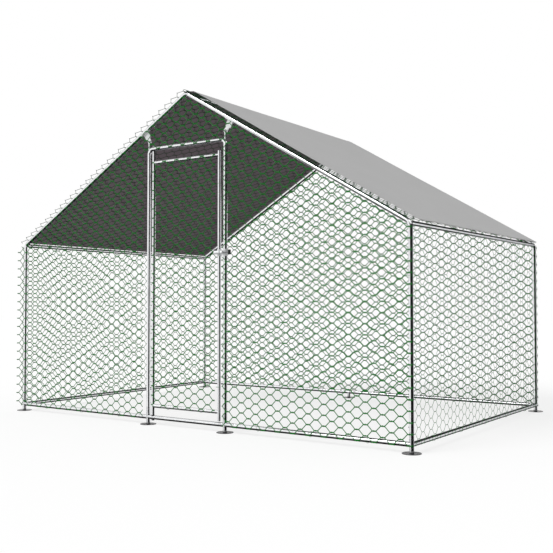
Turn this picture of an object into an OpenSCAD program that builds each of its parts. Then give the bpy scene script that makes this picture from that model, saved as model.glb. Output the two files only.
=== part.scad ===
// Walk-in poultry run: galvanised tube frame, hexagonal netting, swing door and roof cover.
// Origin on the ground under the middle of the run, +X to the right, the door at -Y, +Z up.

/* [Overall] */
// Width over the corner posts
run_width = 3000; // [2000:10:4000]
// Depth over the corner posts
run_depth = 2000; // [1500:10:3000]
// Height of the eave corner, on the tube axis
eave_height = 1160; // [900:10:1600]
// Height of the ridge corner, on the tube axis
ridge_height = 2030; // [1700:10:2600]

/* [Tube] */
// Outside diameter of the frame tube
tube_d = 25; // [19:1:38]
// Wall of the frame tube
tube_wall = 1.2; // [0.8:0.1:2]
// Length of a swaged spigot
spigot_len = 45; // [30:1:80]
// Radial clearance of a spigot in a tube
spigot_gap = 0.1; // [0.05:0.05:0.3]
// Bend radius of the eave and ridge elbows, on the axis
bend_r = 45; // [35:1:80]
// Bend radius of the door head elbows, on the axis
head_bend_r = 30; // [25:1:60]
// Straight arm of an elbow after the bend
elbow_arm = 90; // [50:1:150]

/* [Feet] */
// Diameter of a base plate
plate_d = 100; // [80:1:150]
// Thickness of a base plate
plate_t = 3; // [2:0.5:6]
// Diameter of a ground peg hole
peg_hole_d = 9; // [6:0.5:12]
// Distance between the two peg holes of a plate
peg_spacing = 70; // [60:1:80]
// Height of the bottom rails, on the axis
rail_height = 45; // [40:1:90]
// Reach of a foot arm from the post axis to its shoulder
arm_len = 70; // [50:1:100]
// Height of the shoulder under a post
foot_top = 110; // [90:1:160]

/* [Door] */
// Distance from the middle to each door post
door_post_x = 303; // [250:1:450]
// Distance from the left post to the hinge stile
hinge_offset = 39; // [38:1:60]
// Distance from the right post to the latch stile
latch_offset = 44; // [40:1:70]
// Drop of the door head bar below the rafters at the door posts, on the axes
head_drop = 138.8; // [110:0.1:300]
// Drop of the door's top bar below the head bar, on the axes
door_top_drop = 88; // [60:1:200]
// Height of the door's bottom bar, on the axis
door_bottom = 116; // [90:1:200]
// Outside diameter of the door tube
door_tube_d = 22; // [16:1:25]

/* [Latch] */
// Height of the latch bolt
latch_height = 1047; // [800:1:1300]
// Diameter of the latch bolt
bolt_d = 8; // [6:0.5:12]
// Diameter of the handle
handle_d = 18; // [14:1:22]
// Height of the handle
handle_h = 28; // [20:1:40]

/* [Netting] */
// Row spacing of the wire cells
cell_row = 57.7; // [20:0.1:80]
// Column spacing of the wire cells
cell_column = 50; // [20:0.1:80]
// Wire cells that one gap stands for, each way
cells_per_gap = 6; // [5:1:12]
// Thickness of a net
net_t = 2; // [1:0.5:4]
// Width of a strand between two gaps
strand_w = 8; // [4:1:16]
// Reach of the left wall net past the front posts' axis
net_front_reach = 55; // [0:1:60]
// Reach of the roof nets past the front posts' axis
net_roof_reach = 44; // [0:1:60]
// Reach of the rear net past the rear posts' axis
net_rear_reach = 12.4; // [0:0.1:48]

/* [Cover] */
// Thickness of the roof cover
cover_t = 1.5; // [0.5:0.5:3]
// Setback of the cover's right slope from the front posts' axis
cover_setback_right = 67; // [0:1:200]
// Setback of the cover's left slope from the front posts' axis
cover_setback_left = 12; // [0:1:200]
// Reach of the cover past the rear posts' axis
cover_rear_reach = 15; // [0:1:60]

/* [Hidden] */
$fn = 48;
// Overrun of a cutting tool
over = 2;
// Sides of a hexagon
hex_fn = 6;
// Half of the width and depth on the tube axes
hx = (run_width - tube_d) / 2;
hy = (run_depth - tube_d) / 2;
tube_r = tube_d / 2;
tube_bore = tube_d - 2 * tube_wall;
spigot_d = tube_bore - 2 * spigot_gap;
spigot_bore = spigot_d - 2 * tube_wall;
// Roof pitch and the rafter's length between its two corners
pitch = atan((ridge_height - eave_height) / hx);
slope_len = hx / cos(pitch);
// Heights of the head bar and of the door's top bar
head_height = ridge_height - door_post_x * tan(pitch) - head_drop;
door_top = head_height - door_top_drop;
// Bends: turn of an eave elbow and the tangent lengths at its corner
eave_turn = 90 - pitch;
eave_tangent = bend_r * tan(eave_turn / 2);
ridge_tangent = bend_r * tan(pitch);
eave_bend_z = eave_height - eave_tangent;
ridge_bend_z = ridge_height - bend_r / cos(pitch);
// A bent tube draws in by this much, and an elbow's arm laps its bend
bend_thin = 0.2;
elbow_lap = 1;
// Middle of an eave bend and of a ridge bend, where the rails are carried
eave_rail_in = bend_r - bend_r * cos(eave_turn / 2);
eave_rail_z = eave_bend_z + bend_r * sin(eave_turn / 2);
ridge_pole_z = ridge_bend_z + bend_r;
// Ends of the rafters, measured down the slope from the ridge corner
rafter_start = ridge_tangent + elbow_arm;
rafter_end = slope_len - eave_tangent - elbow_arm;
rafter_play = 0.05;
post_top = eave_bend_z - elbow_arm;
// Screws: place from a tube's end, shank, head and hole
screw_in = 22;
screw_d = 5;
screw_hole_d = 5.2;
screw_head_d = 10;
screw_head_h = 3;
screw_shank = 6;
// Door head: straight arms of the head elbow and the joint with the head bar
head_arm = 40;
head_joint_in = 68;
head_joint_x = door_post_x - head_joint_in;
head_post_top = head_height - head_bend_r - head_arm;
head_side_arm = door_post_x - head_bend_r - head_joint_x;
// Hangers: pivot height over the head bar, rod, eye, strap and saddle
hang_rise = 50;
hang_z = head_height + hang_rise;
rod_d = 14;
eye_d = 24;
eye_t = 6;
strap_t = 5;
clamp_w = 42;
clamp_len = 40;
saddle_len = 70;
saddle_t = 3;
saddle_gap = 0.1;
saddle_half_w = 11;
saddle_screw_x = 28;
hang_along = door_post_x * cos(pitch) + (ridge_height - hang_z) * sin(pitch);
hang_drop = (ridge_height - hang_z) * cos(pitch) - door_post_x * sin(pitch);
// Hanger bolts: shank, hole, head and nut
m_d = 8;
m_hole_d = 8.4;
m_head_d = 15;
m_head_h = 5;
m_nut_h = 6;
m_end = 2;
m_nut_gap = 0.1;
// Door: stile places, hinge pins and bushes
hinge_x = -door_post_x + hinge_offset;
latch_x = door_post_x - latch_offset;
door_wall = 1.2;
door_bore = door_tube_d - 2 * door_wall;
door_r = door_tube_d / 2;
cope_gap = 0.05;
pin_d = 10;
pin_gap = 0.05;
pin_head_d = 19;
pin_head_h = 6;
pin_reach = 38;
bush_flange = 3;
bush_len = 30;
bush_fit = 0.05;
run_gap = 0.3;
stile_bottom = rail_height + tube_r + run_gap + bush_flange;
stile_top = head_height - tube_r - run_gap - bush_flange;
latch_stile_gap = 6;
latch_stile_rise = 24;
latch_stile_bottom = rail_height + tube_r + latch_stile_gap;
latch_stile_top = door_top + latch_stile_rise;
// Latch: sleeves round the stile and the post, barrel in front of them
sleeve_t = 3;
sleeve_h = 40;
sleeve_gap = 0.05;
barrel_d = 22;
barrel_y = 24;
web_h = 14;
guide_in = 15;
guide_out = 2;
keeper_in = 17;
keeper_out = 22;
keeper_play = 8;
bolt_rest = 4;
handle_out = 48;
guide_left = door_post_x - guide_in;
guide_right = door_post_x + guide_out;
keeper_left = latch_x - keeper_in;
keeper_right = latch_x + keeper_out;
keeper_bore = bolt_d + keeper_play;
bolt_tip = guide_left - bolt_rest;
handle_x = door_post_x + handle_out;
handle_gap = 0.05;
bolt_inset = 2;
// Nets: gap cell, edges and outlines
gap_row = cell_row * cells_per_gap;
gap_column = cell_column * cells_per_gap;
flat_share = 0.52;
gap_flat = gap_column * flat_share;
gap_tip = gap_column - gap_flat / 2;
gap_share = 1 - strand_w / gap_row;
net_below = 10;
net_bottom = rail_height - net_below;
net_edge_in = 0.1;
net_side = hx + tube_r - net_edge_in;
net_over = 8;
net_top_rise = net_over / cos(pitch);
net_corner_drop = 2;
net_bay_gap = 32;
net_post_in = 8;
net_bay_part = 2;
net_rear_slant = 30;
net_notch = 4;
net_eave_out = 5;
net_ridge_in = 1.5;
net_door_short = 10;
// Cover: lift over the roof nets and its places along the run
cover_seat = 0.1;
cover_lift = tube_r + net_t + cover_seat;
cover_rear = hy + cover_rear_reach;
cover_len_right = cover_rear + hy - cover_setback_right;
cover_len_left = cover_rear + hy - cover_setback_left;
steel_tone = [0.78, 0.79, 0.80];
plate_tone = [0.35, 0.35, 0.36];
net_tone = [0.18, 0.40, 0.22];
cover_tone = [0.68, 0.68, 0.68];
handle_tone = [0.10, 0.10, 0.10];

// Places children at p, with local z along d and local x along s
module aim(p, d, s) {
  multmatrix([
    [s.x, d.y * s.z - d.z * s.y, d.x, p.x],
    [s.y, d.z * s.x - d.x * s.z, d.y, p.y],
    [s.z, d.x * s.y - d.y * s.x, d.z, p.z],
    [0, 0, 0, 1]
  ])
    children();
}

// Hole through one wall, towards local x
module side_hole(z) {
  translate([0, 0, z])
    rotate([0, 90, 0])
      cylinder(d = screw_hole_d, h = tube_d);
}

// Plain tube with a screw hole near each end
module tube(l) {
  difference() {
    cylinder(d = tube_d, h = l);
    translate([0, 0, -over])
      cylinder(d = tube_bore, h = l + 2 * over);
    side_hole(screw_in);
    side_hole(l - screw_in);
  }
}

// Outside of an arm with its swaged spigot
module arm_body(l) {
  cylinder(d = tube_d, h = l);
  cylinder(d = spigot_d, h = l + spigot_len);
}

// Bore of an arm, with its screw hole
module arm_bore(l) {
  cylinder(d = spigot_bore, h = l + spigot_len + over);
  side_hole(l + screw_in);
}

// Bent tube in the XZ plane about the origin, from angle a over the given turn
module bend(r, a, turn, d) {
  rotate([90, 0, 0])
    rotate([0, 0, a])
      rotate_extrude(angle = turn)
        translate([r, 0])
          circle(d = d);
}

// Base plate with two peg holes
module plate() {
  difference() {
    cylinder(d = plate_d, h = plate_t);
    for (s = [-1, 1])
      translate([s * peg_spacing / 2, 0, -over])
        cylinder(d = peg_hole_d, h = plate_t + 2 * over);
  }
}

// Corner foot, the arms towards the inside
module foot_corner(sx, sy) {
  hub = [0, 0, rail_height];
  color(steel_tone)
    translate([sx * hx, sy * hy, 0])
      difference() {
        union() {
          plate();
          aim([0, 0, 0], [0, 0, 1], [-sx, 0, 0])
            arm_body(foot_top);
          aim(hub, [-sx, 0, 0], [0, -sy, 0])
            arm_body(arm_len);
          aim(hub, [0, -sy, 0], [-sx, 0, 0])
            arm_body(arm_len);
        }
        aim([0, 0, plate_t], [0, 0, 1], [-sx, 0, 0])
          arm_bore(foot_top - plate_t);
        aim(hub, [-sx, 0, 0], [0, -sy, 0])
          arm_bore(arm_len);
        aim(hub, [0, -sy, 0], [-sx, 0, 0])
          arm_bore(arm_len);
      }
}

// Foot in a run of rail, with an upright spigot where a door post stands on it
module foot_tee(x, sy, has_post) {
  hub = [0, 0, rail_height];
  inside = [0, -sy, 0];
  color(steel_tone)
    translate([x, sy * hy, 0])
      difference() {
        union() {
          plate();
          if (has_post)
            aim([0, 0, 0], [0, 0, 1], inside)
              arm_body(foot_top);
          else
            cylinder(d = tube_d, h = rail_height);
          for (s = [-1, 1])
            aim(hub, [s, 0, 0], inside)
              arm_body(arm_len);
        }
        if (has_post)
          aim([0, 0, plate_t], [0, 0, 1], inside)
            arm_bore(foot_top - plate_t);
        else
          translate([0, 0, plate_t])
            cylinder(d = spigot_bore, h = rail_height - plate_t);
        for (s = [-1, 1])
          aim(hub, [s, 0, 0], inside)
            arm_bore(arm_len);
      }
}

module foot_front_left() {
  foot_corner(-1, -1);
}

module foot_front_right() {
  foot_corner(1, -1);
}

module foot_rear_left() {
  foot_corner(-1, 1);
}

module foot_rear_right() {
  foot_corner(1, 1);
}

// The left door foot carries the lower hinge pin in its right arm
module foot_door_left() {
  color(steel_tone)
    difference() {
      foot_tee(-door_post_x, -1, true);
      translate([hinge_x, -hy, rail_height - tube_d])
        cylinder(d = pin_d + 2 * pin_gap, h = 2 * tube_d);
    }
}

module foot_door_right() {
  foot_tee(door_post_x, -1, true);
}

module foot_rear_middle() {
  foot_tee(0, 1, false);
}

// Bottom rail along X between two shoulders
module rail_x(x0, x1, sy) {
  color(steel_tone)
    aim([x0, sy * hy, rail_height], [1, 0, 0], [0, -sy, 0])
      tube(x1 - x0);
}

module rail_front_left() {
  rail_x(-hx + arm_len, -door_post_x - arm_len, -1);
}

module rail_threshold() {
  rail_x(-door_post_x + arm_len, door_post_x - arm_len, -1);
}

module rail_front_right() {
  rail_x(door_post_x + arm_len, hx - arm_len, -1);
}

module rail_rear_left() {
  rail_x(-hx + arm_len, -arm_len, 1);
}

module rail_rear_right() {
  rail_x(arm_len, hx - arm_len, 1);
}

// Rail along Y between two shoulders
module rail_y(x, z, reach, sx) {
  color(steel_tone)
    aim([x, -hy + reach, z], [0, 1, 0], [-sx, 0, 0])
      tube(2 * hy - 2 * reach);
}

module rail_side_left() {
  rail_y(-hx, rail_height, arm_len, -1);
}

module rail_side_right() {
  rail_y(hx, rail_height, arm_len, 1);
}

module eave_rail_left() {
  rail_y(-hx + eave_rail_in, eave_rail_z, tube_r, -1);
}

module eave_rail_right() {
  rail_y(hx - eave_rail_in, eave_rail_z, tube_r, 1);
}

module ridge_pole() {
  color(steel_tone)
    aim([0, -hy + tube_r, ridge_pole_z], [0, 1, 0], [0, 0, -1])
      tube(2 * hy - 2 * tube_r);
}

// Corner post
module post(sx, sy) {
  color(steel_tone)
    aim([sx * hx, sy * hy, foot_top], [0, 0, 1], [-sx, 0, 0])
      tube(post_top - foot_top);
}

module post_front_left() {
  post(-1, -1);
}

module post_front_right() {
  post(1, -1);
}

module post_rear_left() {
  post(-1, 1);
}

module post_rear_right() {
  post(1, 1);
}

// Copy of a front right corner piece at another corner
module corner(sx, sy) {
  multmatrix([[sx, 0, 0, 0], [0, -sy, 0, 0], [0, 0, 1, 0], [0, 0, 0, 1]])
    children();
}

// Arms of an elbow about the origin: the first down from angle 0, the second after the turn
module elbow_arms(turn) {
  lap_p = [bend_r * cos(turn) + elbow_lap * sin(turn), 0, bend_r * sin(turn) - elbow_lap * cos(turn)];
  aim([bend_r, 0, elbow_lap], [0, 0, -1], [0, 1, 0])
    arm_body(elbow_arm + elbow_lap);
  aim(lap_p, [-sin(turn), 0, cos(turn)], [0, 1, 0])
    arm_body(elbow_arm + elbow_lap);
}

// Bore of the same elbow, the first arm's screw hole towards side
module elbow_bore(turn, side) {
  lap_p = [bend_r * cos(turn) + elbow_lap * sin(turn), 0, bend_r * sin(turn) - elbow_lap * cos(turn)];
  bend(bend_r, 0, turn, spigot_bore - bend_thin);
  aim([bend_r, 0, elbow_lap], [0, 0, -1], side)
    arm_bore(elbow_arm + elbow_lap);
  aim(lap_p, [-sin(turn), 0, cos(turn)], [0, 1, 0])
    arm_bore(elbow_arm + elbow_lap);
}

// Outside of an elbow
module elbow_body(turn) {
  bend(bend_r, 0, turn, tube_d - bend_thin);
  elbow_arms(turn);
}

// Eave elbow: bent tube from the post to the rafter, with a spigot for the eave rail
module eave_elbow(sx, sy) {
  centre = [hx - bend_r, -hy, eave_bend_z];
  rail_p = [hx - eave_rail_in, -hy, eave_rail_z];
  color(steel_tone)
    corner(sx, sy)
      difference() {
        union() {
          translate(centre)
            elbow_body(eave_turn);
          aim(rail_p, [0, 1, 0], [-1, 0, 0])
            cylinder(d = spigot_d, h = tube_r + spigot_len);
        }
        translate(centre)
          elbow_bore(eave_turn, [-1, 0, 0]);
        aim(rail_p, [0, 1, 0], [-1, 0, 0])
          translate([0, 0, tube_r])
            arm_bore(0);
      }
}

module eave_elbow_front_left() {
  eave_elbow(-1, -1);
}

module eave_elbow_front_right() {
  eave_elbow(1, -1);
}

module eave_elbow_rear_left() {
  eave_elbow(-1, 1);
}

module eave_elbow_rear_right() {
  eave_elbow(1, 1);
}

// Point on a rafter's axis, measured down the slope from the ridge corner
function on_slope(sx, sy, s) = [sx * s * cos(pitch), sy * hy, ridge_height - s * sin(pitch)];

module rafter(sx, sy) {
  color(steel_tone)
    aim(on_slope(sx, sy, rafter_start), [sx * cos(pitch), 0, -sin(pitch)], [0, -sy, 0])
      tube(rafter_end - rafter_start - rafter_play);
}

// Front rafter, with the holes for the hanger's screws in its underside
module rafter_hung(sx) {
  color(steel_tone)
    difference() {
      rafter(sx, -1);
      for (s = [-1, 1])
        aim(on_slope(sx, -1, hang_along + s * saddle_screw_x), [sx * cos(pitch), 0, -sin(pitch)],
            [-sx * sin(pitch), 0, -cos(pitch)])
          side_hole(0);
    }
}

module rafter_front_left() {
  rafter_hung(-1);
}

module rafter_front_right() {
  rafter_hung(1);
}

module rafter_rear_left() {
  rafter(-1, 1);
}

module rafter_rear_right() {
  rafter(1, 1);
}

// Ridge elbow: bent tube between two rafters, with a spigot for the ridge pole
module ridge_elbow(sy) {
  centre = [0, -hy, ridge_bend_z];
  pole_p = [0, -hy, ridge_pole_z];
  color(steel_tone)
    corner(1, sy)
      difference() {
        union() {
          translate(centre)
            rotate([0, pitch - 90, 0])
              elbow_body(2 * pitch);
          aim(pole_p, [0, 1, 0], [0, 0, -1])
            cylinder(d = spigot_d, h = tube_r + spigot_len);
        }
        translate(centre)
          rotate([0, pitch - 90, 0])
            elbow_bore(2 * pitch, [0, 1, 0]);
        aim(pole_p, [0, 1, 0], [0, 0, -1])
          translate([0, 0, tube_r])
            arm_bore(0);
      }
}

module ridge_elbow_front() {
  ridge_elbow(-1);
}

module ridge_elbow_rear() {
  ridge_elbow(1);
}

module door_post(sx) {
  color(steel_tone)
    aim([sx * door_post_x, -hy, foot_top], [0, 0, 1], [0, 1, 0])
      tube(head_post_top - foot_top);
}

module door_post_left() {
  door_post(-1);
}

module door_post_right() {
  door_post(1);
}

// Head elbow: bent tube from the door post to the head bar, with an eye rod for the hanger
module head_elbow(sx) {
  post_p = [sx * door_post_x, -hy, head_height - head_bend_r];
  side_p = [sx * (door_post_x - head_bend_r), -hy, head_height];
  centre = [sx * (door_post_x - head_bend_r), -hy, head_height - head_bend_r];
  from = sx > 0 ? 0 : 90;
  inside = [0, 1, 0];
  color(steel_tone)
    difference() {
      union() {
        translate(centre)
          bend(head_bend_r, from, 90, tube_d);
        aim(post_p, [0, 0, -1], inside)
          arm_body(head_arm);
        aim(side_p, [-sx, 0, 0], inside)
          arm_body(head_side_arm);
        translate(post_p)
          cylinder(d = rod_d, h = hang_z - head_height + head_bend_r - eye_d / 4);
        translate([sx * door_post_x, -hy + eye_t / 2, hang_z])
          rotate([90, 0, 0])
            cylinder(d = eye_d, h = eye_t);
      }
      translate(centre)
        bend(head_bend_r, from, 90, spigot_bore);
      aim(post_p, [0, 0, -1], inside)
        arm_bore(head_arm);
      aim(side_p, [-sx, 0, 0], inside)
        arm_bore(head_side_arm);
      translate([sx * door_post_x, -hy + tube_d, hang_z])
        rotate([90, 0, 0])
          cylinder(d = m_hole_d, h = 2 * tube_d);
      // Room for the strap beside the eye
      translate([sx * door_post_x, -hy + eye_t / 2 + tube_d, hang_z])
        rotate([90, 0, 0])
          cylinder(d = eye_d + over, h = tube_d);
      // Room for the bolt's head in front of the eye
      translate([sx * door_post_x, -hy - eye_t / 2, hang_z])
        rotate([90, 0, 0])
          cylinder(d = eye_d + over, h = tube_d);
    }
}

// The left head elbow carries the upper hinge pin
module head_elbow_left() {
  color(steel_tone)
    difference() {
      head_elbow(-1);
      translate([hinge_x, -hy, head_height - tube_d])
        cylinder(d = pin_d + 2 * pin_gap, h = 2 * tube_d);
    }
}

module head_elbow_right() {
  head_elbow(1);
}

module head_bar() {
  color(steel_tone)
    aim([-head_joint_x, -hy, head_height], [1, 0, 0], [0, 1, 0])
      tube(2 * head_joint_x);
}

// Hanger: saddle under the front rafter and a strap square to it, down to the eye
module hanger(sx) {
  down = [-sx * sin(pitch), 0, -cos(pitch)];
  color(steel_tone)
    aim(on_slope(sx, -1, hang_along), down, [0, 1, 0])
      difference() {
        union() {
          intersection() {
            translate([0, saddle_len / 2, 0])
              rotate([90, 0, 0])
                cylinder(r = tube_r + saddle_gap + saddle_t, h = saddle_len);
            translate([-saddle_half_w, -saddle_len, 0])
              cube([2 * saddle_half_w, 2 * saddle_len, tube_d]);
          }
          translate([eye_t / 2, -clamp_w / 2, tube_r])
            cube([strap_t, clamp_w, clamp_len]);
          translate([eye_t / 2, -eye_d / 2, tube_r])
            cube([strap_t, eye_d, hang_drop - tube_r]);
          translate([eye_t / 2, 0, hang_drop])
            rotate([0, 90, 0])
              cylinder(d = eye_d, h = strap_t);
        }
        translate([0, saddle_len, 0])
          rotate([90, 0, 0])
            cylinder(r = tube_r + saddle_gap, h = 2 * saddle_len);
        translate([-tube_d, 0, hang_drop])
          rotate([0, 90, 0])
            cylinder(d = m_hole_d, h = 2 * tube_d);
        for (s = [-1, 1])
          translate([0, s * saddle_screw_x, 0])
            cylinder(d = screw_hole_d, h = tube_d);
      }
}

module hanger_left() {
  hanger(-1);
}

module hanger_right() {
  hanger(1);
}

// Bolt and nut through each eye and strap
module hanger_bolts() {
  color(steel_tone)
    for (sx = [-1, 1])
      aim([sx * door_post_x, -hy - eye_t / 2, hang_z], [0, 1, 0], [1, 0, 0]) {
        translate([0, 0, -m_head_h])
          cylinder(d = m_head_d, h = m_head_h, $fn = hex_fn);
        cylinder(d = m_d, h = eye_t + strap_t + m_nut_h + m_end);
        translate([0, 0, eye_t + strap_t])
          difference() {
            cylinder(d = m_head_d, h = m_nut_h, $fn = hex_fn);
            translate([0, 0, -over])
              cylinder(d = m_d + 2 * m_nut_gap, h = m_nut_h + 2 * over);
          }
      }
}

// Pan head screw through one tube wall into a spigot, head towards local x
module screw() {
  rotate([0, 90, 0]) {
    translate([0, 0, tube_r - screw_shank])
      cylinder(d = screw_d, h = screw_shank);
    translate([0, 0, tube_r])
      cylinder(d = screw_head_d, h = screw_head_h);
  }
}

module frame_screws() {
  up_d = [0, 0, 1];
  color(plate_tone) {
    for (sx = [-1, 1])
      for (sy = [-1, 1]) {
        for (z = [foot_top + screw_in, post_top - screw_in])
          aim([sx * hx, sy * hy, z], up_d, [-sx, 0, 0])
            screw();
        aim([sx * (hx - arm_len - screw_in), sy * hy, rail_height], [1, 0, 0], [0, -sy, 0])
          screw();
        aim([sx * hx, sy * (hy - arm_len - screw_in), rail_height], up_d, [-sx, 0, 0])
          screw();
        aim([sx * (hx - eave_rail_in), sy * (hy - tube_r - screw_in), eave_rail_z], up_d, [-sx, 0, 0])
          screw();
        for (s = [rafter_start + screw_in, rafter_end - screw_in])
          aim(on_slope(sx, sy, s), [1, 0, 0], [0, -sy, 0])
            screw();
      }
    for (sy = [-1, 1])
      aim([0, sy * (hy - tube_r - screw_in), ridge_pole_z], [1, 0, 0], [0, 0, -1])
        screw();
    for (sx = [-1, 1]) {
      for (s = [-1, 1])
        aim([sx * door_post_x + s * (arm_len + screw_in), -hy, rail_height], up_d, [0, 1, 0])
          screw();
      for (z = [foot_top + screw_in, head_post_top - screw_in])
        aim([sx * door_post_x, -hy, z], up_d, [0, 1, 0])
          screw();
      aim([sx * (head_joint_x - screw_in), -hy, head_height], up_d, [0, 1, 0])
        screw();
      aim([sx * (arm_len + screw_in), hy, rail_height], up_d, [0, -1, 0])
        screw();
      for (s = [-1, 1])
        aim(on_slope(sx, -1, hang_along + s * saddle_screw_x), [sx * cos(pitch), 0, -sin(pitch)],
            [-sx * sin(pitch), 0, -cos(pitch)])
          translate([saddle_gap + saddle_t, 0, 0])
            screw();
    }
  }
}

// Hinge pins: a headed pin up through the foot's arm and one down through the head elbow
module hinge_pins() {
  color(plate_tone) {
    translate([hinge_x, -hy, rail_height - tube_r]) {
      translate([0, 0, -pin_head_h])
        cylinder(d = pin_head_d, h = pin_head_h, $fn = hex_fn);
      cylinder(d = pin_d, h = tube_d + pin_reach);
    }
    translate([hinge_x, -hy, head_height + tube_r - tube_d - pin_reach]) {
      cylinder(d = pin_d, h = tube_d + pin_reach);
      translate([0, 0, tube_d + pin_reach])
        cylinder(d = pin_head_d, h = pin_head_h, $fn = hex_fn);
    }
  }
}

// Sleeve round an upright with a barrel in front of it
module latch_sleeve(x, d, x0, x1, bore) {
  color(steel_tone)
    translate([0, -hy, latch_height])
      difference() {
        union() {
          translate([x, 0, -sleeve_h / 2])
            cylinder(d = d + 2 * sleeve_t, h = sleeve_h);
          translate([x0, -barrel_y, 0])
            rotate([0, 90, 0])
              cylinder(d = barrel_d, h = x1 - x0);
          translate([max(x0, x - d / 2), -barrel_y, -web_h / 2])
            cube([min(x1, x + d / 2) - max(x0, x - d / 2), barrel_y, web_h]);
        }
        translate([x, 0, -sleeve_h])
          cylinder(d = d + 2 * sleeve_gap, h = 2 * sleeve_h);
        translate([x0 - over, -barrel_y, 0])
          rotate([0, 90, 0])
            cylinder(d = bore, h = x1 - x0 + 2 * over);
      }
}

module latch_guide() {
  latch_sleeve(door_post_x, tube_d, guide_left, guide_right, bolt_d + 2 * pin_gap);
}

module latch_keeper() {
  latch_sleeve(latch_x, door_tube_d, keeper_left, keeper_right, keeper_bore);
}

module latch_bolt() {
  color(steel_tone)
    translate([bolt_tip, -hy - barrel_y, latch_height])
      rotate([0, 90, 0])
        cylinder(d = bolt_d, h = handle_x + handle_d / 2 - bolt_inset - bolt_tip);
}

module latch_handle() {
  color(handle_tone)
    translate([handle_x, -hy - barrel_y, latch_height])
      difference() {
        translate([0, 0, -handle_h / 2])
          cylinder(d = handle_d, h = handle_h);
        translate([-handle_d, 0, 0])
          rotate([0, 90, 0])
            cylinder(d = bolt_d + 2 * handle_gap, h = handle_d + handle_d / 2 - bolt_inset);
      }
}

// One gap of a net, a hexagon with level top and bottom
module net_gap() {
  polygon([
    for (q = [[1, 0], [flat_share, 1], [-flat_share, 1], [-1, 0], [-flat_share, -1], [flat_share, -1]])
      [gap_share * (q.y == 0 ? q.x * gap_tip : q.x * gap_flat / (2 * flat_share)), gap_share * q.y * gap_row / 2]
  ]);
}

// Gaps over a field from (u0, v0) to (u1, v1)
module net_gaps(u0, v0, u1, v1) {
  columns = ceil((u1 - u0) / gap_column);
  rows = ceil((v1 - v0) / gap_row);
  for (i = [0:columns])
    for (j = [0:rows])
      translate([u0 + i * gap_column, v0 + (j + (i % 2) / 2) * gap_row])
        net_gap();
}

// Flat net with a strand all round its outline; rim is the outline drawn in by a strand
module net_sheet(outline, rim, u0, v0, u1, v1) {
  linear_extrude(height = net_t)
    difference() {
      polygon(outline);
      intersection() {
        polygon(rim);
        net_gaps(u0, v0, u1, v1);
      }
    }
}

// Four-sided net with an upright left and right edge and a level bottom
module net_bay(u0, u1, v0, top0, top1) {
  net_sheet(
    [[u0, v0], [u1, v0], [u1, top1], [u0, top0]],
    [[u0 + strand_w, v0 + strand_w], [u1 - strand_w, v0 + strand_w],
     [u1 - strand_w, top1 - strand_w], [u0 + strand_w, top0 - strand_w]],
    u0, v0, u1, max(top0, top1));
}

// Height of the gable nets' top edge at x
function net_top(x) = ridge_height - abs(x) * tan(pitch) + net_top_rise;

module net_front_left() {
  color(net_tone)
    aim([0, -hy - tube_r, 0], [0, -1, 0], [1, 0, 0])
      net_bay(-net_side, -door_post_x - net_bay_gap, net_bottom, net_top(net_side), net_top(door_post_x + net_bay_gap));
}

module net_front_right() {
  color(net_tone)
    difference() {
      aim([0, -hy - tube_r, 0], [0, -1, 0], [1, 0, 0])
        net_bay(door_post_x - net_post_in, net_side, net_bottom, net_top(door_post_x - net_post_in), net_top(net_side));
      translate([0, -hy - tube_d, latch_height - sleeve_h / 2 - net_notch])
        cube([door_post_x + tube_r + sleeve_t + net_notch, tube_d, sleeve_h + 2 * net_notch]);
    }
}

// Net over the door head, up to the ridge
module net_front_gable() {
  u0 = -door_post_x - net_bay_gap + net_bay_part;
  u1 = door_post_x - net_post_in - net_bay_part;
  v0 = head_height - tube_r / 2;
  color(net_tone)
    aim([0, -hy - tube_r, 0], [0, -1, 0], [1, 0, 0])
      net_sheet(
        [[u0, v0], [u1, v0], [u1, net_top(u1)], [0, net_top(0)], [u0, net_top(u0)]],
        [[u0 + strand_w, v0 + strand_w], [u1 - strand_w, v0 + strand_w], [u1 - strand_w, net_top(u1) - strand_w],
         [0, net_top(0) - strand_w], [u0 + strand_w, net_top(u0) - strand_w]],
        u0, v0, u1, net_top(0));
}

module net_wall_left() {
  color(net_tone)
    aim([-hx - tube_r, 0, 0], [-1, 0, 0], [0, -1, 0])
      net_bay(-hy - tube_r + net_edge_in, hy + net_front_reach, net_bottom, eave_height, eave_height);
}

module net_wall_right() {
  color(net_tone)
    aim([hx + tube_r, 0, 0], [1, 0, 0], [0, 1, 0])
      net_bay(-hy - tube_r + net_edge_in, hy + tube_r - net_edge_in, net_bottom, eave_height, eave_height);
}

module net_rear() {
  u1 = hx + net_rear_reach;
  top = eave_height - net_corner_drop;
  s = strand_w;
  color(net_tone)
    aim([0, hy + tube_r, 0], [0, 1, 0], [-1, 0, 0])
      net_sheet(
        [[-u1, net_bottom], [u1, net_bottom], [u1, top - net_rear_slant], [net_side, top], [0, net_top(0)],
         [-net_side, top], [-u1, top - net_rear_slant]],
        [[s - u1, net_bottom + s], [u1 - s, net_bottom + s], [u1 - s, top - net_rear_slant - s], [net_side - s, top - s],
         [0, net_top(0) - s], [s - net_side, top - s], [s - u1, top - net_rear_slant - s]],
        -u1, net_bottom, u1, net_top(0));
}

// Net on one roof slope, lying on the rafters
module net_roof(sx) {
  n = [sx * sin(pitch), 0, cos(pitch)];
  front = hy + net_roof_reach;
  rear = hy + tube_r - net_edge_in;
  color(net_tone)
    aim([sx * hx, 0, eave_height] + tube_r * n, n, [0, sx, 0])
      net_bay(sx > 0 ? -front : -rear, sx > 0 ? rear : front, -net_eave_out,
              slope_len + tube_r * tan(pitch) - net_ridge_in, slope_len + tube_r * tan(pitch) - net_ridge_in);
}

module net_roof_left() {
  net_roof(-1);
}

module net_roof_right() {
  net_roof(1);
}

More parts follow.
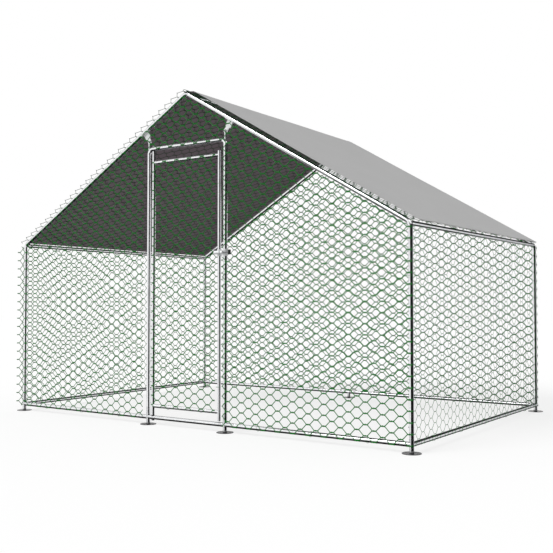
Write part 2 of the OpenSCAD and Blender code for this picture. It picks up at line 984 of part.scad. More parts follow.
// Corner of the cover's profile at a height over the rafters' axis, for the right eave
function cover_edge(lift) = [
  hx + lift * sin(pitch) + net_eave_out * cos(pitch),
  eave_height + lift * cos(pitch) - net_eave_out * sin(pitch)
];

// Half of the roof cover, from the ridge down one slope
module cover_half(sx, len) {
  low = cover_edge(cover_lift);
  high = cover_edge(cover_lift + cover_t);
  top0 = ridge_height + cover_lift / cos(pitch);
  top1 = ridge_height + (cover_lift + cover_t) / cos(pitch);
  linear_extrude(height = len)
    polygon([[0, top0], [0, top1], [sx * high.x, high.y], [sx * low.x, low.y]]);
}

// Roof cover: one sheet over both slopes, its left half further forward
module roof_cover() {
  color(cover_tone)
    aim([0, cover_rear, 0], [0, -1, 0], [1, 0, 0])
      union() {
        cover_half(-1, cover_len_left);
        cover_half(1, cover_len_right);
      }
}

// Plain upright tube of the door
module door_stile(x, z0, z1) {
  color(steel_tone)
    translate([x, -hy, z0])
      difference() {
        cylinder(d = door_tube_d, h = z1 - z0);
        translate([0, 0, -over])
          cylinder(d = door_bore, h = z1 - z0 + 2 * over);
      }
}

module door_stile_hinge() {
  door_stile(hinge_x, stile_bottom, stile_top);
}

module door_stile_latch() {
  door_stile(latch_x, latch_stile_bottom, latch_stile_top);
}

// Door bar between the stiles, its ends coped to them
module door_bar(z) {
  color(steel_tone)
    difference() {
      translate([hinge_x, -hy, z])
        rotate([0, 90, 0])
          cylinder(d = door_tube_d, h = latch_x - hinge_x);
      translate([hinge_x - over, -hy, z])
        rotate([0, 90, 0])
          cylinder(d = door_bore, h = latch_x - hinge_x + 2 * over);
      for (x = [hinge_x, latch_x])
        translate([x, -hy, z - door_tube_d])
          cylinder(d = door_tube_d + 2 * cope_gap, h = 2 * door_tube_d);
    }
}

module door_bar_top() {
  door_bar(door_top);
}

module door_bar_bottom() {
  door_bar(door_bottom);
}

// Flanged bush in an end of the hinge stile, local z into the stile
module hinge_bush() {
  difference() {
    union() {
      cylinder(d = door_tube_d, h = bush_flange);
      cylinder(d = door_bore - 2 * bush_fit, h = bush_flange + bush_len);
    }
    translate([0, 0, -over])
      cylinder(d = pin_d + 2 * pin_gap, h = bush_flange + bush_len + 2 * over);
  }
}

module hinge_bushes() {
  color(handle_tone) {
    aim([hinge_x, -hy, stile_bottom - bush_flange], [0, 0, 1], [1, 0, 0])
      hinge_bush();
    aim([hinge_x, -hy, stile_top + bush_flange], [0, 0, -1], [1, 0, 0])
      hinge_bush();
  }
}

// Net on the front of the door, short of the latch stile
module net_door() {
  color(net_tone)
    aim([0, -hy - door_r, 0], [0, -1, 0], [1, 0, 0])
      net_bay(hinge_x, latch_x - door_r - net_door_short, door_bottom - door_r / 2, door_top + door_r / 2,
              door_top + door_r / 2);
}

foot_front_left();
foot_front_right();
foot_rear_left();
foot_rear_right();
foot_door_left();
foot_door_right();
foot_rear_middle();
rail_front_left();
rail_threshold();
rail_front_right();
rail_rear_left();
rail_rear_right();
rail_side_left();
rail_side_right();
post_front_left();
post_front_right();
post_rear_left();
post_rear_right();
eave_elbow_front_left();
eave_elbow_front_right();
eave_elbow_rear_left();
eave_elbow_rear_right();
rafter_front_left();
rafter_front_right();
rafter_rear_left();
rafter_rear_right();
ridge_elbow_front();
ridge_elbow_rear();
ridge_pole();
eave_rail_left();
eave_rail_right();
door_post_left();
door_post_right();
head_elbow_left();
head_elbow_right();
head_bar();
hanger_left();
hanger_right();
hanger_bolts();
frame_screws();
hinge_pins();
latch_guide();
net_front_left();
net_front_right();
net_front_gable();
net_wall_left();
net_wall_right();
net_rear();
net_roof_left();
net_roof_right();
roof_cover();
door_stile_hinge();
door_stile_latch();
door_bar_top();
door_bar_bottom();
hinge_bushes();
net_door();
latch_keeper();
latch_bolt();
latch_handle();
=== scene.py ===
import math

import bmesh
import bpy
from mathutils import Matrix, Vector, noise


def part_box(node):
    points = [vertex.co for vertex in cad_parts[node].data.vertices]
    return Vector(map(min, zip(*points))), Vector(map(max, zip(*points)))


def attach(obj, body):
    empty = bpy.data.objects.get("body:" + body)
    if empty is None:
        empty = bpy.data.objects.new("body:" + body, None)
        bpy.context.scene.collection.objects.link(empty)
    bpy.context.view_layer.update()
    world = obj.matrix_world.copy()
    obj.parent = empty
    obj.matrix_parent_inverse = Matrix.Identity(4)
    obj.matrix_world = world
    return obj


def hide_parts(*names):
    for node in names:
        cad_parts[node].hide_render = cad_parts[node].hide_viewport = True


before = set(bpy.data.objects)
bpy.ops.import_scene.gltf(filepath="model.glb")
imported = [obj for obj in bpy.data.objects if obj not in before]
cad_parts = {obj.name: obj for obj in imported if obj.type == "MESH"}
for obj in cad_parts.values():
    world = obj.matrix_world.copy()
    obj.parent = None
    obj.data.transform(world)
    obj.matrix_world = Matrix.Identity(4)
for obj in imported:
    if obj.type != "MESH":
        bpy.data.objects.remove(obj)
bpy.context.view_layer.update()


# The camera stands low in front of the run's right corner and looks slightly up,
# as the photograph's perspective gives it.
camera_data = bpy.data.cameras.new("camera")
camera_data.sensor_width = 36.0
camera_data.lens = 54.05
camera = bpy.data.objects.new("camera", camera_data)
camera.location = (3.306, -4.799, 0.750)
camera.rotation_euler = (math.radians(91.85), 0.0, math.radians(34.70))
bpy.context.scene.collection.objects.link(camera)
bpy.context.scene.camera = camera


# The frame is steel tube, hot-dip galvanised: bright zinc with a faint spangle and a
# slightly uneven shine. Rails, posts, rafters and elbows push together on spigots.
def new_finish(name):
    finish = bpy.data.materials.new(name)
    finish.use_nodes = True
    nodes, links = finish.node_tree.nodes, finish.node_tree.links
    return finish, nodes, links, nodes["Principled BSDF"]


def pattern(nodes, links, kind, place, **settings):
    drawn = nodes.new("ShaderNodeTex" + kind)
    for socket, value in settings.items():
        drawn.inputs[socket].default_value = value
    links.new(place, drawn.inputs["Vector"])
    return drawn


def mottle(nodes, links, first, second, share):
    blend = nodes.new("ShaderNodeMix")
    blend.data_type = "FLOAT"
    blend.inputs["Factor"].default_value = share
    links.new(first, blend.inputs["A"])
    links.new(second, blend.inputs["B"])
    return blend.outputs["Result"]


def tint(nodes, links, source, skin, dark, light, low=0.0, high=1.0):
    tone = nodes.new("ShaderNodeValToRGB")
    for stop, position, colour in zip(tone.color_ramp.elements, (low, high), (dark, light)):
        stop.position = position
        stop.color = (*colour, 1.0)
    links.new(source, tone.inputs["Fac"])
    links.new(tone.outputs["Color"], skin.inputs["Base Color"])


def roughen(nodes, links, source, skin, low, high):
    gloss = nodes.new("ShaderNodeMapRange")
    gloss.inputs["To Min"].default_value = low
    gloss.inputs["To Max"].default_value = high
    links.new(source, gloss.inputs["Value"])
    links.new(gloss.outputs["Result"], skin.inputs["Roughness"])


def emboss(nodes, links, source, skin, strength, depth):
    relief = nodes.new("ShaderNodeBump")
    relief.inputs["Strength"].default_value = strength
    relief.inputs["Distance"].default_value = depth
    links.new(source, relief.inputs["Height"])
    links.new(relief.outputs["Normal"], skin.inputs["Normal"])


def zinc_finish(name, dark, light, shine, spangle, metal=1.0):
    finish, nodes, links, skin = new_finish(name)
    skin.inputs["Metallic"].default_value = metal
    # The dark specular tint darkens the zinc's reflection at grazing angles: painted shade along
    # the edges of every zinc part.
    skin.inputs["Specular Tint"].default_value = (0.22, 0.22, 0.23, 1.0)
    place = nodes.new("ShaderNodeTexCoord").outputs["Object"]
    flakes = pattern(nodes, links, "Voronoi", place, Scale=spangle)
    streaks = pattern(nodes, links, "Noise", place, Scale=9.0, Detail=5.0)
    worn = mottle(nodes, links, streaks.outputs["Fac"], flakes.outputs["Color"], share=0.35)
    tint(nodes, links, worn, skin, dark, light, low=0.3, high=0.7)
    roughen(nodes, links, streaks.outputs["Fac"], skin, low=shine - 0.06, high=shine + 0.08)
    emboss(nodes, links, flakes.outputs["Distance"], skin, strength=0.08, depth=0.0004)
    return finish


def dress(finish, *starts):
    for node_name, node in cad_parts.items():
        if node_name.startswith(starts):
            node.data.materials.clear()
            node.data.materials.append(finish)


tube_zinc = zinc_finish(
    "tube_zinc", dark=(0.80, 0.81, 0.82), light=(0.97, 0.98, 0.99), shine=0.13, spangle=160.0)
dress(tube_zinc, "rail_", "post_", "eave_", "rafter_", "ridge_", "door_", "head_")


# The feet are welded from the same tube, with a round base plate on the ground. The
# plate is duller than the tubes, and turns darker and less metallic towards the ground.
PLATE_LOW_DARK_COLOUR = (0.070, 0.070, 0.072, 1.0)
PLATE_LOW_METAL = 0.15
DARK_FADE_LOW = 0.004
DARK_FADE_HIGH = 0.014
foot_zinc = zinc_finish(
    "foot_zinc", dark=(0.64, 0.65, 0.66), light=(0.88, 0.89, 0.90), shine=0.20, spangle=140.0)
foot_nodes, foot_links = foot_zinc.node_tree.nodes, foot_zinc.node_tree.links
foot_skin = foot_nodes["Principled BSDF"]
foot_place = foot_nodes.new("ShaderNodeTexCoord")
foot_split = foot_nodes.new("ShaderNodeSeparateXYZ")
foot_links.new(foot_place.outputs["Object"], foot_split.inputs["Vector"])
foot_height = foot_nodes.new("ShaderNodeMapRange")
foot_height.inputs["From Min"].default_value = DARK_FADE_LOW
foot_height.inputs["From Max"].default_value = DARK_FADE_HIGH
foot_links.new(foot_split.outputs["Z"], foot_height.inputs["Value"])
foot_low_darkening = foot_nodes.new("ShaderNodeMix")
foot_low_darkening.data_type = "RGBA"
foot_low_darkening.inputs["A"].default_value = PLATE_LOW_DARK_COLOUR
foot_links.new(foot_height.outputs["Result"], foot_low_darkening.inputs["Factor"])
foot_links.new(foot_nodes["Color Ramp"].outputs["Color"], foot_low_darkening.inputs["B"])
foot_links.new(foot_low_darkening.outputs["Result"], foot_skin.inputs["Base Color"])
foot_metal_by_height = foot_nodes.new("ShaderNodeMapRange")
foot_metal_by_height.inputs["To Min"].default_value = PLATE_LOW_METAL
foot_links.new(foot_height.outputs["Result"], foot_metal_by_height.inputs["Value"])
foot_links.new(foot_metal_by_height.outputs["Result"], foot_skin.inputs["Metallic"])
dress(foot_zinc, "foot_")


# Hangers clamp the head of the doorway to the front rafters. They, the latch's sleeve and
# its keeper are bright pressed steel. Screws, bolts, hinge pins and the latch bolt are
# zinc plated, and darker than the tubes.
clamp_zinc = zinc_finish(
    "clamp_zinc", dark=(0.84, 0.85, 0.86), light=(0.95, 0.96, 0.97), shine=0.38, spangle=220.0,
    metal=0.35)
dress(clamp_zinc, "hanger_left", "hanger_right", "latch_guide", "latch_keeper")
bolt_zinc = zinc_finish(
    "bolt_zinc", dark=(0.30, 0.30, 0.31), light=(0.50, 0.50, 0.52), shine=0.30, spangle=420.0)
dress(bolt_zinc, "hanger_bolts", "frame_screws", "hinge_pins", "latch_bolt")


# The hinge bushes are black nylon and the latch knob is dark green moulded plastic, with
# a fine sparked grain.
def moulded(name, dark, light, roughness, grain):
    finish, nodes, links, skin = new_finish(name)
    place = nodes.new("ShaderNodeTexCoord").outputs["Object"]
    spark = pattern(nodes, links, "Noise", place, Scale=grain, Detail=3.0).outputs["Fac"]
    tint(nodes, links, spark, skin, dark, light)
    roughen(nodes, links, spark, skin, low=roughness - 0.08, high=roughness + 0.10)
    emboss(nodes, links, spark, skin, strength=0.2, depth=0.0003)
    return finish


bush_nylon = moulded(
    "bush_nylon", dark=(0.012, 0.012, 0.012), light=(0.03, 0.03, 0.03), roughness=0.55, grain=900.0)
dress(bush_nylon, "hinge_bushes")
knob_plastic = moulded(
    "knob_plastic", dark=(0.010, 0.014, 0.011), light=(0.025, 0.032, 0.026), roughness=0.40,
    grain=700.0)
dress(knob_plastic, "latch_handle")


# Hexagonal netting: two steel wires wind once round each other along each level edge,
# part, and wind with their other neighbours. The wires are coated in green plastic.
NET_ROW = 0.0577
NET_COL = 0.0500
NET_START = (0.0855, 0.0394)
NET_GAP = 0.0001
TWIST = 0.54 * NET_COL
TWIST_STEPS = 5
WIRE_SIDES = 4
HEAVY_WIRE = 0.0054
WELD = 0.00002
CUT_SLACK = 0.00001
WIRE_SPECULAR = 0.08


def verts_in(geom):
    return [part for part in geom if isinstance(part, bmesh.types.BMVert)]


def edges_in(geom):
    return [part for part in geom if isinstance(part, bmesh.types.BMEdge)]


def all_of(bm):
    return bm.verts[:] + bm.edges[:] + bm.faces[:]


def made_piece(name, bm, smooth=True):
    mesh = bpy.data.meshes.new(name)
    bm.to_mesh(mesh)
    bm.free()
    if smooth:
        mesh.shade_smooth()
    piece = bpy.data.objects.new(name, mesh)
    bpy.context.scene.collection.objects.link(piece)
    return piece


def wire_period(bm, wire):
    turn_r = wire / 2
    rise = NET_ROW / 2 - 2 * turn_r
    slant = math.atan2(rise, NET_COL - TWIST)
    ring_place = (Matrix.Translation((-TWIST / 2, 0, turn_r))
                  @ Matrix.Rotation(math.radians(90), 4, "Y"))
    start = bmesh.ops.create_circle(
        bm, segments=WIRE_SIDES, radius=wire / 2, matrix=ring_place)["verts"]
    edges = bm.edges[:]

    def tilt(verts, angle):
        middle = sum((v.co for v in verts), Vector()) / len(verts)
        bmesh.ops.rotate(bm, verts=verts, cent=middle, matrix=Matrix.Rotation(angle, 3, "Y"))

    for centre, slope in ((0.0, 1), (NET_ROW / 2, -1)):
        wound = bmesh.ops.spin(
            bm, geom=edges, cent=(0, 0, centre), axis=(1, 0, 0),
            dvec=(TWIST / TWIST_STEPS, 0, 0), angle=math.radians(360), steps=TWIST_STEPS,
            use_merge=False, use_duplicate=False)["geom_last"]
        end = verts_in(wound)
        drawn = bmesh.ops.extrude_edge_only(bm, edges=edges_in(wound))["geom"]
        far = verts_in(drawn)
        edges = [e for e in edges_in(drawn) if all(v in far for v in e.verts)]
        bmesh.ops.translate(bm, verts=far, vec=(NET_COL - TWIST, 0, slope * rise))
        tilt(start, slope * slant / 2)
        tilt(end, -slope * slant / 2)
        start = far
    tilt(start, slant / 2)


def netting(name, place, low, high, wire, trims=(), notch=None, start=NET_START):
    bm = bmesh.new()
    wire_period(bm, wire)
    pair = bmesh.ops.duplicate(bm, geom=all_of(bm))["geom"]
    bmesh.ops.rotate(
        bm, verts=verts_in(pair), cent=(0, 0, 0),
        matrix=Matrix.Rotation(math.radians(180), 3, "X"))
    period = 2 * NET_COL
    first_u = start[0] + math.floor((low[0] - start[0] + TWIST / 2) / period) * period
    first_v = start[1] + math.floor((low[1] - start[1]) / NET_ROW) * NET_ROW
    bmesh.ops.translate(bm, verts=bm.verts[:], vec=(first_u, 0, first_v))
    columns = math.ceil((high[0] - first_u + TWIST / 2) / period)
    rows = math.ceil((high[1] - first_v) / NET_ROW) + 1
    for step, count in (((period, 0, 0), columns), ((0, 0, NET_ROW), rows)):
        last = all_of(bm)
        for i in range(count - 1):
            last = bmesh.ops.duplicate(bm, geom=last)["geom"]
            bmesh.ops.translate(bm, verts=verts_in(last), vec=step)
        bmesh.ops.remove_doubles(bm, verts=bm.verts[:], dist=WELD)
    sides = [((low[0], 0, 0), (-1, 0, 0)), ((high[0], 0, 0), (1, 0, 0)),
             ((0, 0, low[1]), (0, 0, -1)), ((0, 0, high[1]), (0, 0, 1))]
    for point, outward in sides + list(trims):
        bmesh.ops.bisect_plane(
            bm, geom=all_of(bm), dist=CUT_SLACK, plane_co=point, plane_no=outward,
            clear_outer=True)
    if notch:
        left, right, bottom, top = notch
        inside = [v for v in bm.verts if left < v.co.x < right and bottom < v.co.z < top]
        bmesh.ops.delete(bm, geom=inside, context="VERTS")
    bmesh.ops.holes_fill(
        bm, edges=[e for e in bm.edges if e.is_boundary], sides=2 * WIRE_SIDES)
    bmesh.ops.recalc_face_normals(bm, faces=bm.faces[:])
    bm.transform(place)
    return made_piece(name, bm)


def coated_wire(name, dark, light):
    finish = moulded(name, dark, light, roughness=0.50, grain=60.0)
    skin = finish.node_tree.nodes["Principled BSDF"]
    skin.inputs["Specular IOR Level"].default_value = WIRE_SPECULAR
    return finish


green_wire = coated_wire("green_wire", dark=(0.009, 0.160, 0.018), light=(0.016, 0.245, 0.032))


def hang(net, body, node, finish=green_wire):
    net.data.materials.append(finish)
    net.visible_glossy = False
    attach(net, body)
    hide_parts(node)


# Front netting hangs on the outer face of the front tubes: a bay on each side of the
# doorway and a gable piece above it, cut along the rafters.
HALF_SPAN = 1.4875
ROOF_RISE = 0.870
RIDGE_Z = 2.030
FRONT_FACE = -1.0
FRONT_SHORT = 0.0095
LATCH_ROOM = 0.004
pitch = math.atan2(ROOF_RISE, HALF_SPAN)
gable_top = (0, 0, RIDGE_Z - FRONT_SHORT / math.cos(pitch))
rake_left = (gable_top, (-math.sin(pitch), 0, math.cos(pitch)))
rake_right = (gable_top, (math.sin(pitch), 0, math.cos(pitch)))
front_place = Matrix.Translation((0, FRONT_FACE - HEAVY_WIRE - NET_GAP, 0))
guide_low, guide_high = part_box("latch_guide")
knob_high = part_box("latch_handle")[1]
latch_cut = (0.0, knob_high.x + LATCH_ROOM, guide_low.z - LATCH_ROOM, guide_high.z + LATCH_ROOM)
for bay, trims, cut in (("front_left", [rake_left], None),
                        ("front_right", [rake_right], latch_cut)):
    low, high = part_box("net_" + bay)
    hang(netting("netting_" + bay, front_place, (low.x, low.z), (high.x, high.z),
                 HEAVY_WIRE, trims, cut), "frame", "net_" + bay)
low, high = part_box("net_front_gable")
hang(netting("netting_gable", front_place, (low.x, low.z), (high.x, high.z),
             HEAVY_WIRE, [rake_left, rake_right]), "frame", "net_front_gable")


# Side netting covers the two long walls from rail to eave, with its front ends left long
# past the left corner post. Its wire is lighter than the gables', most of all on the right.
WALL_WIRES = {"left": 0.0046, "right": 0.0021}
WALL_START = (0.0140, NET_START[1])
WALL_FACE = 1.5
WALL_SHORT = 0.0095
SIDES = (("left", -1), ("right", 1))
for side_name, side in SIDES:
    low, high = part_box("net_wall_" + side_name)
    wire = WALL_WIRES[side_name]
    wall_place = (Matrix.Translation((side * (WALL_FACE + wire + NET_GAP), 0, 0))
                  @ Matrix.Rotation(math.radians(90), 4, "Z"))
    hang(netting("netting_wall_" + side_name, wall_place, (low.y, low.z),
                 (high.y, high.z - WALL_SHORT), wire, start=WALL_START),
         "frame", "net_wall_" + side_name)


# Rear netting is one piece for the whole gable, of a heavier wire than the front. Its
# ends are left long past both rear posts, and its top is cut along the rafters.
REAR_WIRE = 0.0062
REAR_FACE = 1.0
REAR_LONG = 0.008
low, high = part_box("net_rear")
rear_place = Matrix.Translation((0, REAR_FACE + REAR_WIRE + NET_GAP, 0))
rear_top = (0, 0, RIDGE_Z + REAR_LONG / math.cos(pitch))
rear_rakes = [(rear_top, rake_left[1]), (rear_top, rake_right[1])]
hang(netting("netting_rear", rear_place, (low.x, low.z), (high.x, high.z),
             REAR_WIRE, rear_rakes), "frame", "net_rear")


# Roof netting lies on the rafters, eave rails and ridge pole, under the cover. It is of
# a light wire, coloured a darker green as painted shade, and its front ends run out past the front
# gable.
ROOF_WIRE = 0.0030
ROOF_START = (-1.0400, 0.0355)
TUBE_R = 0.0125
RIDGE_LAP = 0.0055
EAVE_LAP = 0.005
slope_len = math.hypot(HALF_SPAN, ROOF_RISE)
# The roof netting's darker green is painted shade from the cover above it.
roof_wire_painted_shade = coated_wire("roof_wire_painted_shade", dark=(0.010, 0.045, 0.016), light=(0.020, 0.080, 0.030))
for side_name, side in SIDES:
    low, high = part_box("net_roof_" + side_name)
    down = Vector((side * math.cos(pitch), 0, -math.sin(pitch)))
    up = Vector((side * math.sin(pitch), 0, math.cos(pitch)))
    along = Vector((0, side, 0))
    lift = up * (TUBE_R + ROOF_WIRE + NET_GAP)
    roof_place = (Matrix.Translation(Vector((0, 0, RIDGE_Z)) + lift)
                  @ Matrix((along, up, down)).transposed().to_4x4())
    near, far = sorted((side * low.y, side * high.y))
    hang(netting("netting_roof_" + side_name, roof_place, (near, -RIDGE_LAP),
                 (far, slope_len + EAVE_LAP), ROOF_WIRE,
                 start=(side * ROOF_START[0], ROOF_START[1])),
         "frame", "net_roof_" + side_name, roof_wire_painted_shade)


# Door netting hangs on the outer face of the door's stiles and bars, and turns with the
# door. It is of the heavy wire, cut out round the keeper's sleeve on the latch stile.
low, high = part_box("net_door")
keeper_low, keeper_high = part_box("latch_keeper")
keeper_cut = (keeper_low.x - LATCH_ROOM, keeper_high.x + LATCH_ROOM,
              keeper_low.z - LATCH_ROOM, keeper_high.z + LATCH_ROOM)
door_place = Matrix.Translation((0, high.y - HEAVY_WIRE - NET_GAP, 0))
hang(netting("netting_door", door_place, (low.x, low.z), (high.x, high.z),
             HEAVY_WIRE, notch=keeper_cut), "door", "net_door")


# Ties hold the nets to the tubes: rings of the same green wire, each closed round the tube
# and the strands of the net that lie on it. The door's ties turn with the door.
TIE_WIRE = 0.0016
TIE_R = 0.0150
TIE_ROOM = 0.0016
TIE_STEPS = 12
TIE_FLAT = 0.94
RAFTER_TIES = 4
RAFTER_TIES_LOW = 1.25
RAFTER_TIES_HIGH = 0.10
RAFTER_Y = 0.9875


def tie_rings(name, body, rows):
    bm = bmesh.new()
    section_place = (Matrix.Translation((TIE_R, 0, 0))
                     @ Matrix.Rotation(math.radians(90), 4, "X"))
    bmesh.ops.create_circle(
        bm, segments=WIRE_SIDES, radius=TIE_WIRE / 2, matrix=section_place)
    bmesh.ops.spin(
        bm, geom=bm.verts[:] + bm.edges[:], cent=(0, 0, 0), axis=(0, 0, 1),
        angle=math.radians(360), steps=TIE_STEPS, use_merge=True)
    ring = all_of(bm)
    for begin, end, count, outward, tube_r, wire in rows:
        along = (end - begin).normalized()
        back = tube_r + TIE_ROOM
        reach = back + 2 * (wire + NET_GAP)
        turn = Matrix((outward, along.cross(outward), along)).transposed().to_4x4()
        oval = Matrix.Diagonal(((back + reach) / (2 * TIE_R), back / (TIE_R * TIE_FLAT), 1, 1))
        for i in range(count):
            middle = begin.lerp(end, (i + 0.5) / count) + outward * (reach - back) / 2
            copy = bmesh.ops.duplicate(bm, geom=ring)["geom"]
            bmesh.ops.transform(
                bm, matrix=Matrix.Translation(middle) @ turn @ oval, verts=verts_in(copy))
    bmesh.ops.delete(bm, geom=verts_in(ring), context="VERTS")
    bmesh.ops.recalc_face_normals(bm, faces=bm.faces[:])
    ties = made_piece(name, bm)
    ties.data.materials.append(green_wire)
    ties.visible_glossy = False
    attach(ties, body)


def tube_row(node, count, outward, wire):
    low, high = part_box(node)
    middle, size = (low + high) / 2, high - low
    axis = max(range(3), key=lambda i: size[i])
    half = Vector([size[i] / 2 if i == axis else 0.0 for i in range(3)])
    return (middle - half, middle + half, count, Vector(outward), min(size) / 2, wire)


FRONT, BACK, LEFT, RIGHT = (0, -1, 0), (0, 1, 0), (-1, 0, 0), (1, 0, 0)
frame_rows = [tube_row(*row) for row in (
    ("post_front_left", 3, FRONT, HEAVY_WIRE), ("post_front_right", 3, FRONT, HEAVY_WIRE),
    ("post_rear_left", 3, BACK, REAR_WIRE), ("post_rear_right", 3, BACK, REAR_WIRE),
    ("rail_front_left", 3, FRONT, HEAVY_WIRE), ("rail_front_right", 3, FRONT, HEAVY_WIRE),
    ("rail_rear_left", 4, BACK, REAR_WIRE), ("rail_rear_right", 4, BACK, REAR_WIRE),
    ("rail_side_left", 5, LEFT, WALL_WIRES["left"]),
    ("rail_side_right", 5, RIGHT, WALL_WIRES["right"]),
    ("eave_rail_left", 5, LEFT, WALL_WIRES["left"]),
    ("eave_rail_right", 5, RIGHT, WALL_WIRES["right"]))]
for side_name, side in SIDES:
    for outward in (FRONT, BACK):
        begin, end = (
            Vector((side * x, outward[1] * RAFTER_Y, RIDGE_Z - x * math.tan(pitch)))
            for x in (RAFTER_TIES_LOW, RAFTER_TIES_HIGH))
        frame_rows.append((begin, end, RAFTER_TIES, Vector(outward), TUBE_R, HEAVY_WIRE))
tie_rings("frame_ties", "frame", frame_rows)
tie_rings("door_ties", "door", [tube_row(node, count, FRONT, HEAVY_WIRE) for node, count in (
    ("door_stile_hinge", 3), ("door_stile_latch", 4),
    ("door_bar_bottom", 2), ("door_bar_top", 2))])


# The roof cover is one sheet of coated woven fabric, pale grey, laid over the ridge and
# stretched to both eaves, with a turned hem all round. Its inside is coloured charcoal:
# painted shade for the underside of the roof.
# Its left half reaches the front rafter, and its right half stops short of it.
COVER_SETTLE = 0.0010
COVER_WAVE = 0.0016
WAVES_ACROSS = 2.1
WAVES_ALONG = 1.7
WAVE_LAYER = 3.0
cover_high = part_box("roof_cover")[1]
cover_up = TUBE_R + 2 * (ROOF_WIRE + NET_GAP) + COVER_SETTLE
cover_half = slope_len + EAVE_LAP + cover_up * math.tan(pitch)
cover_thick = 0.0010
cover_front_left = -0.9755
cover_front_right = -0.9205
hem_width = 0.022
hem_rise = 0.0013
fold_r = 0.004
bm = bmesh.new()
bmesh.ops.create_grid(bm, x_segments=140, y_segments=80, size=1.0)
flat_map = bm.loops.layers.uv.new("cloth")
for v in bm.verts:
    across = v.co.x * cover_half
    front = cover_front_left if across < 0 else cover_front_right
    along = front + (v.co.y + 1) / 2 * (cover_high.y - front)
    for loop in v.link_loops:
        loop[flat_map].uv = (across, along)
    wave = COVER_WAVE * (
        1 + noise.noise((across * WAVES_ACROSS, along * WAVES_ALONG, WAVE_LAYER)))
    run = math.hypot(across, fold_r)
    height = RIDGE_Z + (cover_up + wave) / math.cos(pitch) - run * math.sin(pitch)
    v.co = (across * math.cos(pitch), along, height)
bmesh.ops.recalc_face_normals(bm, faces=bm.faces[:])
band = bmesh.ops.inset_region(
    bm, faces=bm.faces[:], thickness=hem_width, use_boundary=True, use_even_offset=True,
    use_interpolate=True)["faces"]
hem = bmesh.ops.duplicate(bm, geom=band)["geom"]
bmesh.ops.translate(bm, verts=verts_in(hem), vec=(0, 0, hem_rise))
cover = made_piece("roof_sheet", bm)


def coated_cloth(name, dark, light):
    finish, nodes, links, skin = new_finish(name)
    skin.inputs["Specular IOR Level"].default_value = 0.25
    skin.inputs["Sheen Weight"].default_value = 0.05
    cloth = nodes.new("ShaderNodeUVMap")
    cloth.uv_map = "cloth"
    weave = nodes.new("ShaderNodeMath")
    weave.operation = "MULTIPLY"
    for direction, crossing in zip(("X", "Y"), weave.inputs):
        thread = pattern(
            nodes, links, "Wave", cloth.outputs["UV"], Scale=130.0, Distortion=0.4)
        thread.bands_direction = direction
        links.new(thread.outputs["Fac"], crossing)
    cloud = pattern(
        nodes, links, "Noise", cloth.outputs["UV"], Scale=3.0, Detail=4.0).outputs["Fac"]
    faded = mottle(nodes, links, cloud, weave.outputs["Value"], share=0.4)
    tint(nodes, links, faded, skin, dark, light)
    roughen(nodes, links, cloud, skin, low=0.62, high=0.80)
    emboss(nodes, links, weave.outputs["Value"], skin, strength=0.15, depth=0.0003)
    return finish


cover.data.materials.append(
    coated_cloth("cover_outside", dark=(0.525, 0.525, 0.525), light=(0.590, 0.590, 0.590)))
# The inside's dark colour is painted shade for the underside of the roof.
cover.data.materials.append(
    coated_cloth("cover_inside_painted_shade", dark=(0.205, 0.160, 0.185), light=(0.260, 0.205, 0.235)))
wall = cover.modifiers.new("thickness", "SOLIDIFY")
wall.thickness = cover_thick
wall.offset = 1.0
wall.material_offset = 1
cover.visible_glossy = False
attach(cover, "frame")
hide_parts("roof_cover")


# The floor is a plain white studio sheet that keeps a light shadow. It isn't seen in the
# metal, which shows the white room round the run instead.
FLOOR_REACH = 30
FLOOR_LIT = 0.80
FLOOR_SHOWN = 0.27
FLOOR_GLOW = 0.76


def card(name, corners, finish):
    bm = bmesh.new()
    bm.faces.new([bm.verts.new(corner) for corner in corners])
    sheet = made_piece(name, bm, smooth=False)
    sheet.data.materials.append(finish)
    return sheet


def level(x_low, x_high, y_low, y_high, z):
    return ((x_low, y_low, z), (x_high, y_low, z), (x_high, y_high, z), (x_low, y_high, z))


def matt(nodes, shade):
    sheen_free = nodes.new("ShaderNodeBsdfDiffuse")
    sheen_free.inputs["Color"].default_value = (shade, shade, shade, 1.0)
    return sheen_free


floor_white, floor_nodes, floor_links, floor_skin = new_finish("floor_white")
floor_nodes.remove(floor_skin)
floor_lit = matt(floor_nodes, FLOOR_LIT)
floor_shown = matt(floor_nodes, FLOOR_SHOWN)
floor_glow = floor_nodes.new("ShaderNodeEmission")
floor_glow.inputs["Color"].default_value = (1.0, 1.0, 1.0, 1.0)
floor_glow.inputs["Strength"].default_value = FLOOR_GLOW
floor_sum = floor_nodes.new("ShaderNodeAddShader")
floor_links.new(floor_shown.outputs["BSDF"], floor_sum.inputs[0])
floor_links.new(floor_glow.outputs["Emission"], floor_sum.inputs[1])
floor_path = floor_nodes.new("ShaderNodeLightPath")
floor_mix = floor_nodes.new("ShaderNodeMixShader")
floor_links.new(floor_path.outputs["Is Camera Ray"], floor_mix.inputs["Fac"])
floor_links.new(floor_lit.outputs["BSDF"], floor_mix.inputs[1])
floor_links.new(floor_sum.outputs["Shader"], floor_mix.inputs[2])
floor_links.new(floor_mix.outputs["Shader"], floor_nodes["Material Output"].inputs["Surface"])
floor = card("floor", level(-FLOOR_REACH, FLOOR_REACH, -FLOOR_REACH, FLOOR_REACH, 0), floor_white)
floor.visible_glossy = False


# Dark cards stand behind the camera, right of the run and far behind it, and lie above and
# below it. Only the metal sees them: they give each tube the dark bands that bright zinc
# has in a studio.
FLAG_LOW = -3.0
FLAG_HIGH = 3.4


def upright(begin, end, low=FLAG_LOW, high=FLAG_HIGH):
    return ((*begin, low), (*end, low), (*end, high), (*begin, high))


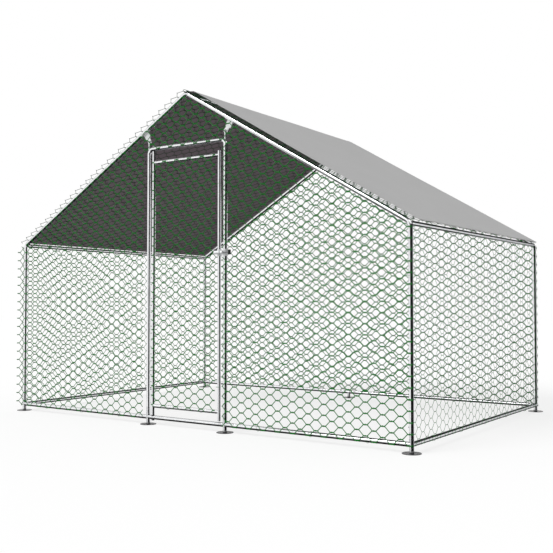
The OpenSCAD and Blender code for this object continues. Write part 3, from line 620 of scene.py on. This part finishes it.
flag_black = moulded(
    "flag_black", dark=(0.004, 0.004, 0.004), light=(0.008, 0.008, 0.008), roughness=0.9,
    grain=40.0)
for flag_name, corners in (
        ("flag_left", upright((1.0, -5.8), (3.4, -5.4))),
        ("flag_middle", upright((3.4, -5.4), (5.4, -2.8))),
        ("flag_right", upright((5.4, -2.8), (5.2, 3.4))),
        ("flag_below", level(-9.0, 4.5, -4.5, 12.0, FLAG_LOW)),
        ("flag_ahead", level(-14.0, 0.5, -12.0, -4.5, FLAG_LOW)),
        ("flag_back", upright((-16.0, 14.0), (16.0, 14.0), low=3.3, high=16.0)),
        ("flag_above", level(-3.0, 3.0, -4.2, 4.0, 5.0))):
    flag = card(flag_name, corners, flag_black)
    flag.visible_camera = False
    flag.visible_diffuse = False
    flag.visible_shadow = False
    flag.visible_transmission = False


# Plain light: an even white sky that lights at about half strength and shows white to the
# camera and in the metal, and one soft key from the upper right.
SKY_LIGHT = 0.55
SKY_SHOWN = 1.0
world = bpy.data.worlds.new("studio")
bpy.context.scene.world = world
world.use_nodes = True
sky_nodes, sky_links = world.node_tree.nodes, world.node_tree.links
sky_path = sky_nodes.new("ShaderNodeLightPath")
sky_seen = sky_path.outputs["Is Camera Ray"]
for ray in ("Is Glossy Ray", "Is Transmission Ray"):
    either = sky_nodes.new("ShaderNodeMath")
    either.operation = "MAXIMUM"
    sky_links.new(sky_seen, either.inputs[0])
    sky_links.new(sky_path.outputs[ray], either.inputs[1])
    sky_seen = either.outputs["Value"]
sky_level = sky_nodes.new("ShaderNodeMapRange")
sky_level.inputs["To Min"].default_value = SKY_LIGHT
sky_level.inputs["To Max"].default_value = SKY_SHOWN
sky_links.new(sky_seen, sky_level.inputs["Value"])
sky_nodes["Background"].inputs["Color"].default_value = (1.0, 1.0, 1.0, 1.0)
sky_links.new(sky_level.outputs["Result"], sky_nodes["Background"].inputs["Strength"])

key_data = bpy.data.lights.new("key", "SUN")
key_data.energy = 1.5
key_data.angle = math.radians(25)
key = bpy.data.objects.new("key", key_data)
key.rotation_euler = (math.radians(38), math.radians(-22), 0)
bpy.context.scene.collection.objects.link(key)

bpy.context.scene.view_settings.view_transform = "Standard"
